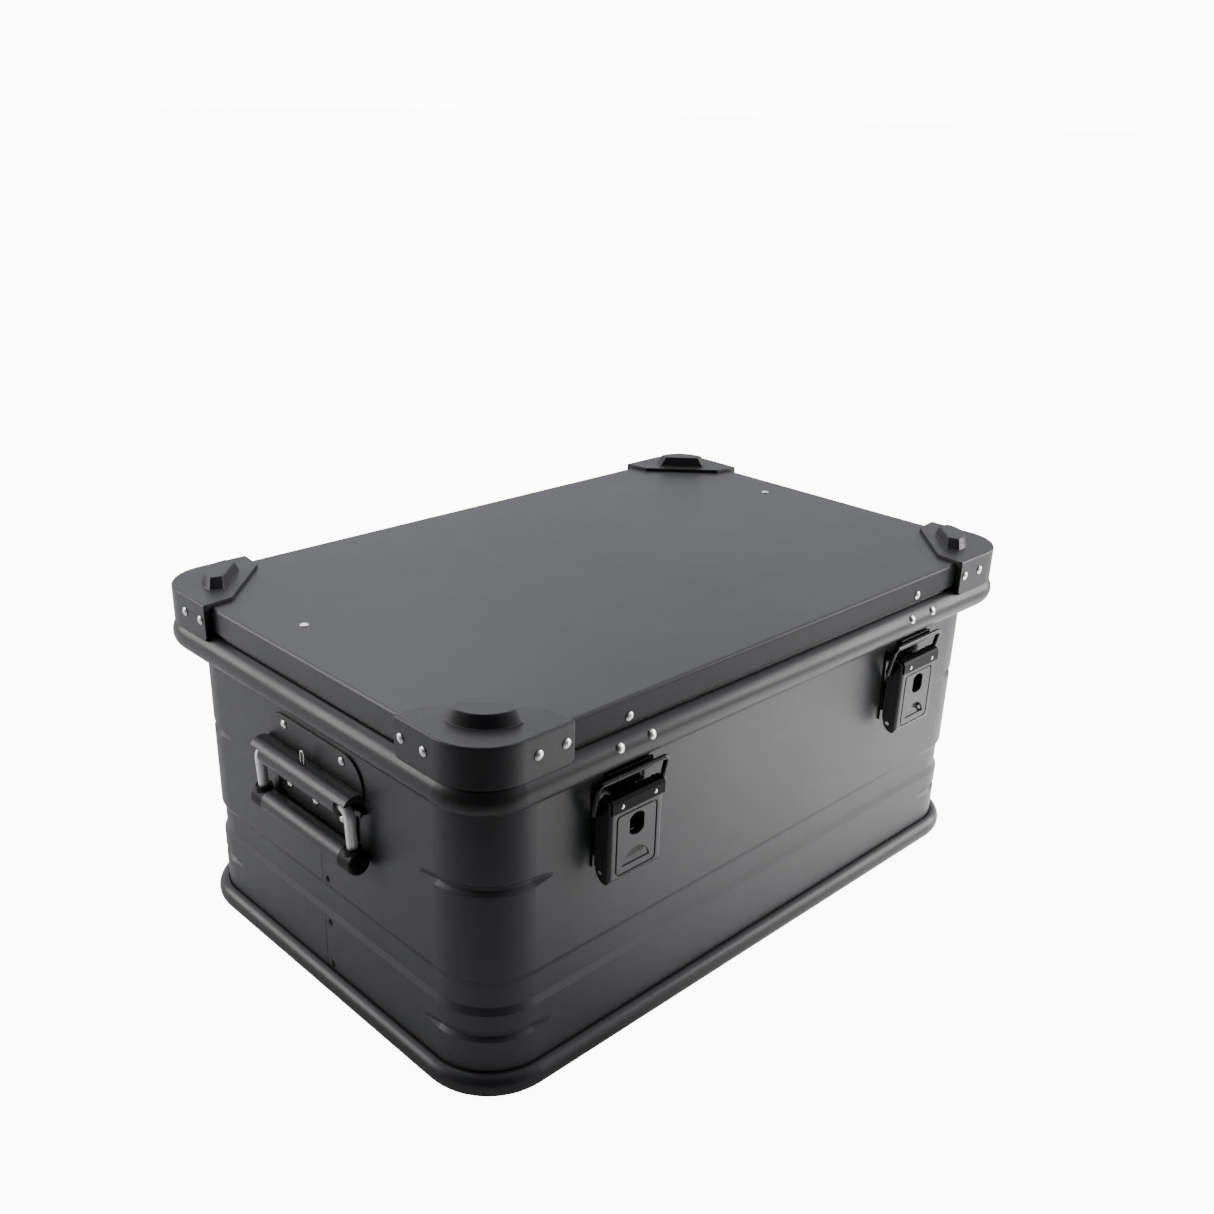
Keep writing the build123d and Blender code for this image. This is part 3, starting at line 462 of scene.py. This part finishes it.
def handle_spring(side, outward):
    """`outward` is the sign of X on this side of the case."""
    x, z = outward * SPRING_X_MM * MM, SPRING_Z_MM * MM
    coil = tube(coil_path(x, z, outward), COIL_WIRE_RADIUS, SPRING_SIDES)
    hairpin = tube(hairpin_path(x - outward * HAIRPIN_INSET_MM * MM, z),
                   HAIRPIN_WIRE_RADIUS, SPRING_SIDES)
    spring = mesh_object("spring_coil_" + side, *joined((coil, hairpin)),
                         materials["spring_wire"])
    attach(spring, "box")
    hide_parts("handle_spring_" + side)


handle_spring("left", -1)
handle_spring("right", 1)


# ---------------------------------------------------------------- lid straps
def strap_axes(start, end):
    """Unit vectors along and across a strap that lies in a plane of constant x."""
    along = (end - start).normalized()
    return along, Vector((0, -along.z, along.y))


def ribbon(name, start, end, centre_x, thickness):
    """Flat, slightly wavy strap between two eyes, with rounded ends beyond them."""
    along, across = strap_axes(start, end)
    length = (end - start).length
    half = STRAP_HALF_WIDTH
    rows, columns = STRAP_STEPS, STRAP_CROSS_STEPS
    verts, uv, faces = [], [], []
    for face in (1, -1):
        for i in range(rows + 1):
            s = -half + (length + 2 * half) * i / rows
            from_tip = min(s + half, length + half - s)
            width = half
            if from_tip < half:
                width = math.sqrt(max(half * half - (half - from_tip) ** 2, (0.12 * half) ** 2))
            hemmed = s < HEM_LENGTH or s > length - HEM_LENGTH
            hem = 0.35 * thickness if hemmed else 0.0
            sway = STRAP_WAVE * math.sin(math.pi * max(0.0, min(1.0, s / length)))
            for j in range(columns + 1):
                q = -1 + 2 * j / columns
                # thinner towards the long edges
                lip = thickness / 2 * (1 - 0.55 * abs(q) ** 6)
                offset = sway * math.sin(9.0 * s / length + q)
                point = start + along * s + across * (q * width)
                point.x = centre_x + offset + face * (lip + hem * 0.5)
                verts.append(point)
                uv.append((s, q * width))

    stride = columns + 1
    back = (rows + 1) * stride
    for i in range(rows):
        for j in range(columns):
            k = i * stride + j
            faces.append((k, k + stride, k + stride + 1, k + 1))
            faces.append((back + k, back + k + 1, back + k + stride + 1, back + k + stride))
    for i in range(rows):
        for j in (0, columns):
            k = i * stride + j
            quad = (k, k + stride, back + k + stride, back + k)
            faces.append(quad if j == columns else quad[::-1])
    for j in range(columns):
        for i in (0, rows):
            k = i * stride + j
            quad = (k, k + 1, back + k + 1, back + k)
            faces.append(quad if i == 0 else quad[::-1])
    return mesh_object(name, verts, faces, materials["webbing"], uv)


def stitches(name, start, end, centre_x, thickness):
    """Box stitching beside each eye: short thread bars on both faces of the strap."""
    along, across = strap_axes(start, end)
    bars = []

    def bar(centre, direction, x):
        reach = direction * (STITCH_LENGTH / 2)
        path = [(x, p.y, p.z) for p in (centre - reach, centre, centre + reach)]
        bars.append(tube(path, THREAD_RADIUS, THREAD_SIDES))

    for eye, inward in ((start, along), (end, -along)):
        for face in (1, -1):
            x = centre_x + face * (thickness * 0.5 - THREAD_SINK)
            for row in LONG_ROWS_MM:
                for i in range(LONG_ROW_COUNT):
                    distance = (LONG_ROW_START_MM + STITCH_PITCH_MM * i) * MM
                    bar(eye + inward * distance + across * (row * MM), inward, x)
            for row in CROSS_ROWS_MM:
                for i in range(CROSS_ROW_COUNT):
                    sideways = (CROSS_ROW_START_MM + STITCH_PITCH_MM * i) * MM
                    bar(eye + inward * (row * MM) + across * sideways, across, x)
    return mesh_object(name, *joined(bars), materials["webbing"])


for side in ("left", "right"):
    for part, start in (("lower", LOWER_START), ("upper", UPPER_START)):
        node = f"strap_{part}_{side}"
        body = f"strap_{part}_body_{side}"
        low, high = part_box(node)
        centre_x, thickness = (low.x + high.x) / 2, high.x - low.x
        strap = ribbon(f"woven_strap_{part}_{side}", start, SHARED_END, centre_x,
                       thickness * 0.8)
        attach(strap, body)
        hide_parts(node)
        seam = stitches(f"strap_stitching_{part}_{side}", start, SHARED_END, centre_x,
                        thickness * 0.95)
        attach(seam, body)

# ---------------------------------------------------------------- studio
BACKDROP_WHITE = 14.0  # emission that the camera sees, before the floor and world shares
FLOOR_HALF_SIZE, FLOOR_Z = 30.0, -0.0004


def floor_material():
    """Pale floor: white to the camera; to other rays it has painted shade on the camera side and
    a glowing pool of painted light near the case.
    """
    k = Surface("studio_floor")
    tone = k.mix(k.remap(k.noise(scale=3.0, detail=3.0), span=(0.4, 0.6)),
                 (0.80, 0.80, 0.80), (0.82, 0.82, 0.82))
    # painted shade: to rays other than the camera's, the floor darkens from 0.20 to 0.75 m out on
    # the camera side
    towards_camera = k.vector_math("DOT_PRODUCT", k.coords, (-0.7071, -0.7071, 0.0))
    painted_floor_shade = k.remap(towards_camera, span=(0.20, 0.75), to=(1.0, 0.06))
    seen = k.add("LightPath").outputs["Is Camera Ray"]
    colour = k.mix(k.math("MAXIMUM", painted_floor_shade, seen), (0.04, 0.04, 0.04), tone)

    # painted light: the floor glows near the case for rays other than the camera's, standing in
    # for bounced light
    from_pool = k.vector_math("DISTANCE", k.coords, (0.42, -0.42, 0.0))
    bounce = k.remap(from_pool, span=(0.12, 0.62), to=(2.5, 0.0))
    unseen = k.math("SUBTRACT", 1.0, seen)
    glow = k.math("ADD", k.math("MULTIPLY", seen, BACKDROP_WHITE * 0.72),
                  k.math("MULTIPLY", unseen, bounce))
    k.shade({"Base Color": colour, "Roughness": 0.75, "Specular IOR Level": 0.15,
             "Emission Color": (1, 1, 1), "Emission Strength": glow})
    return k.material


def studio_world():
    """White to the camera; as a light it is dim on the camera side and bright elsewhere."""
    world = bpy.data.worlds.new("studio")
    bpy.context.scene.world = world
    world.use_nodes = True
    k = Nodes(world.node_tree, "Generated")
    nearness = k.vector_math("DOT_PRODUCT", k.coords, Vector((-0.69, -0.69, 0.22)).normalized())
    room = k.remap(nearness, span=(-0.05, 0.80), to=(0.95, 0.02), interpolation="SMOOTHSTEP")
    seen = k.add("LightPath").outputs["Is Camera Ray"]
    strength = k.math("ADD", k.math("MULTIPLY", room, k.math("SUBTRACT", 1.0, seen)),
                      k.math("MULTIPLY", seen, BACKDROP_WHITE * 0.84))
    height = k.remap(k.split(k.coords)["Z"], span=(0.05, 0.45))
    background = k.tree.nodes["Background"]
    # plain tint held by the socket beneath the linked colour
    k.feed(background, {"Color": (0.985, 0.99, 1.0)})
    k.feed(background, {"Strength": strength,
                        "Color": k.mix(height, (1.0, 1.0, 0.99), (0.93, 0.95, 1.06))})


def area_light(name, location, target, size, power):
    light = bpy.data.lights.new(name, "AREA")
    light.energy = power
    light.size = size
    obj = bpy.data.objects.new(name, light)
    obj.location = location
    aim = Vector(target) - Vector(location)
    obj.rotation_euler = aim.to_track_quat("-Z", "Y").to_euler()
    bpy.context.scene.collection.objects.link(obj)


corners = [(x * FLOOR_HALF_SIZE, y * FLOOR_HALF_SIZE, FLOOR_Z)
           for x, y in ((-1, -1), (1, -1), (1, 1), (-1, 1))]
mesh_object("floor", corners, [(0, 1, 2, 3)], floor_material(), smooth=False)
studio_world()
area_light("key", location=(1.9, -1.15, 0.75), target=(0.15, -0.1, 0.10), size=1.2, power=40)
area_light("top", location=(0.1, 0.9, 1.8), target=(0.0, 0.0, 0.25), size=1.6, power=12)
area_light("rear_left", location=(-1.5, 1.5, 0.9), target=(-0.25, 0.1, 0.2), size=1.0, power=20)


# ---------------------------------------------------------------- camera
def add_camera(position_mm, heading, pitch, roll, lens, shift):
    """Angles in degrees: heading from +Y towards +X, pitch downwards, roll about the view."""
    heading, pitch, roll = (math.radians(v) for v in (heading, pitch, roll))
    forward = Vector((math.sin(heading) * math.cos(pitch), math.cos(heading) * math.cos(pitch),
                      -math.sin(pitch)))
    right = Vector((math.cos(heading), -math.sin(heading), 0))
    up = right.cross(forward)
    camera_x = right * math.cos(roll) + up * math.sin(roll)
    camera_y = -right * math.sin(roll) + up * math.cos(roll)
    rotation = Matrix((camera_x, camera_y, -forward)).transposed()

    data = bpy.data.cameras.new("camera")
    data.sensor_fit = "HORIZONTAL"
    data.sensor_width = 36.0
    data.lens = lens
    data.shift_x, data.shift_y = shift
    data.clip_start = 0.01
    data.clip_end = 100
    camera = bpy.data.objects.new("camera", data)
    bpy.context.scene.collection.objects.link(camera)
    camera.matrix_world = Matrix.Translation(Vector(position_mm) * MM) @ rotation.to_4x4()
    bpy.context.scene.camera = camera


add_camera(position_mm=(-680.394, -677.111, 610.126), heading=44.429, pitch=23.181, roll=1.549,
           lens=38.020211, shift=(0.013300659, 0.026229819))
